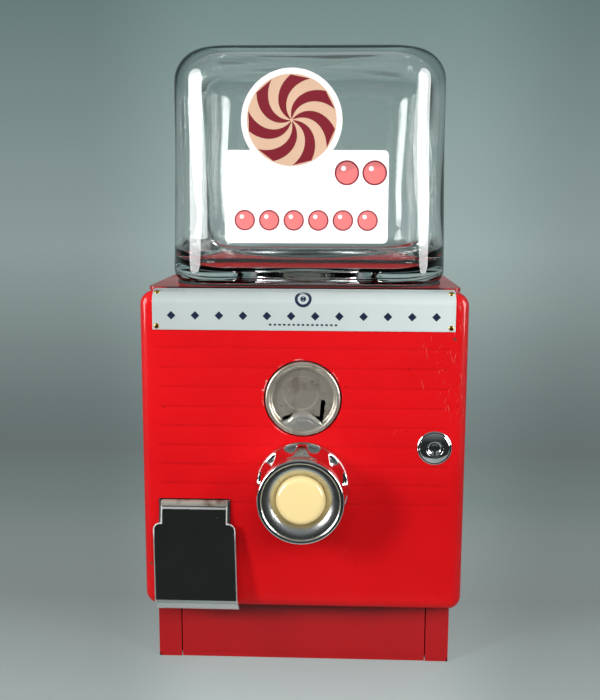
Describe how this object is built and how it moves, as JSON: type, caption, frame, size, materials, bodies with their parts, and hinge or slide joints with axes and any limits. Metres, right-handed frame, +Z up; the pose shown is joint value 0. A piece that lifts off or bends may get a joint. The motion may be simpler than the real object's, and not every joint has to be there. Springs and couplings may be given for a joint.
{
  "type": "candy vending machine",
  "caption": "Countertop candy vendor: enamelled steel body on an inset plinth with hinged door, coin knob, lock and delivery flap, under a square glass globe.",
  "frame": {"origin": "centre of the stand bolt hole, on the underside of the base floor", "axes": "+X to the right seen from the front, +Y to the back, +Z up"},
  "size_m": [0.204, 0.237, 0.4038],
  "materials": {
    "red_enamel": "gloss",
    "zinc_steel": "satin",
    "cash_tin": "satin",
    "worn_nickel": "worn satin",
    "chrome_trim": "polished",
    "brass_parts": "aged",
    "gear_metal": "cast",
    "nameplate_metal": "satin",
    "cream_plastic": "gloss",
    "wheel_plastic": "matt",
    "bristle": "matt",
    "clear_glass": "clear",
    "black_rubber": "matt"
  },
  "bodies": {
    "cabinet": {"cabinet_shell": "red_enamel", "top_plate": "red_enamel", "base_left_channel": "red_enamel", "base_right_channel": "red_enamel", "base_front_panel": "red_enamel", "base_rear_panel": "red_enamel", "base_floor": "zinc_steel", "rubber_feet": "black_rubber", "base_screws": "zinc_steel", "lock_strike": "zinc_steel", "hinge_bracket_lower": "zinc_steel", "hinge_bracket_upper": "zinc_steel", "hinge_pins": "zinc_steel", "cash_box": "cash_tin", "globe_gasket": "black_rubber", "globe_collar": "zinc_steel", "collar_screws": "zinc_steel", "hopper": "zinc_steel", "cross_bar": "zinc_steel", "bar_screws": "zinc_steel", "wheel_floor": "zinc_steel", "portion_guard": "zinc_steel", "portion_brush": "bristle", "candy_chute": "zinc_steel"},
    "portion_wheel": {"portion_wheel": "wheel_plastic", "crown_gear": "gear_metal", "wheel_axle": "zinc_steel", "axle_clip": "zinc_steel", "agitator": "zinc_steel"},
    "globe": {"globe": "clear_glass"},
    "front_door": {"front_door": "red_enamel", "nameplate": "nameplate_metal", "nameplate_screws": "brass_parts", "coin_entry_plate": "worn_nickel", "coin_lip": "worn_nickel", "spout": "zinc_steel", "flap_pin": "zinc_steel", "lock_cylinder": "chrome_trim", "lock_nut": "brass_parts", "hinge_arm_lower": "zinc_steel", "hinge_arm_upper": "zinc_steel", "mechanism_plate": "zinc_steel", "mechanism_screws": "zinc_steel", "bearing_posts": "zinc_steel", "bearing_plate": "zinc_steel", "coin_track": "zinc_steel", "knob_bush": "brass_parts"},
    "knob": {"knob": "chrome_trim", "knob_insert": "cream_plastic", "knob_shaft": "zinc_steel", "coin_wheel": "brass_parts", "ratchet_wheel": "zinc_steel", "drive_pinion": "gear_metal", "shaft_collar": "zinc_steel"},
    "flap": {"flap": "chrome_trim"},
    "lock_plug": {"lock_plug": "brass_parts", "lock_cam": "zinc_steel", "cam_screw": "zinc_steel"},
    "coin_dog": {"coin_dog": "zinc_steel"},
    "ratchet_pawl": {"ratchet_pawl": "zinc_steel"}
  },
  "joints": [
    {"name": "door_hinge", "type": "hinge", "parent": "cabinet", "child": "front_door", "pos_m": [-0.096, -0.078, 0.176], "axis": [0, 0, -1], "range_deg": [0, 95]},
    {"name": "knob_turn", "type": "hinge", "parent": "front_door", "child": "knob", "pos_m": [0, -0.102, 0.1228], "axis": [0, 1, 0], "continuous": true},
    {"name": "wheel_turn", "type": "hinge", "parent": "cabinet", "child": "portion_wheel", "pos_m": [0, 0, 0.141], "axis": [0, 0, 1], "continuous": true},
    {"name": "flap_swing", "type": "hinge", "parent": "front_door", "child": "flap", "pos_m": [-0.0686, -0.1015, 0.11], "axis": [-1, 0, 0], "range_deg": [0, 70]},
    {"name": "lock_turn", "type": "hinge", "parent": "front_door", "child": "lock_plug", "pos_m": [0.0823, -0.102, 0.1489], "axis": [0, 1, 0], "range_deg": [0, 90]},
    {"name": "coin_dog_lift", "type": "hinge", "parent": "front_door", "child": "coin_dog", "pos_m": [0.022, -0.098, 0.1448], "axis": [0, -1, 0], "range_deg": [0, 12], "stiffness_Nm_per_rad": 0.02, "springref_deg": -9.74},
    {"name": "ratchet_pawl_lift", "type": "hinge", "parent": "front_door", "child": "ratchet_pawl", "pos_m": [-0.022, -0.091, 0.1448], "axis": [0, 1, 0], "range_deg": [0, 12], "stiffness_Nm_per_rad": 0.02, "springref_deg": -9.74},
    {"name": "globe_lift", "type": "slide", "parent": "cabinet", "child": "globe", "axis": [0, 0, 1], "range_m": [0, 0.2]}
  ],
  "couplings": [
    {"joint": "wheel_turn", "follows": "knob_turn", "ratio": 0.25}
  ]
}
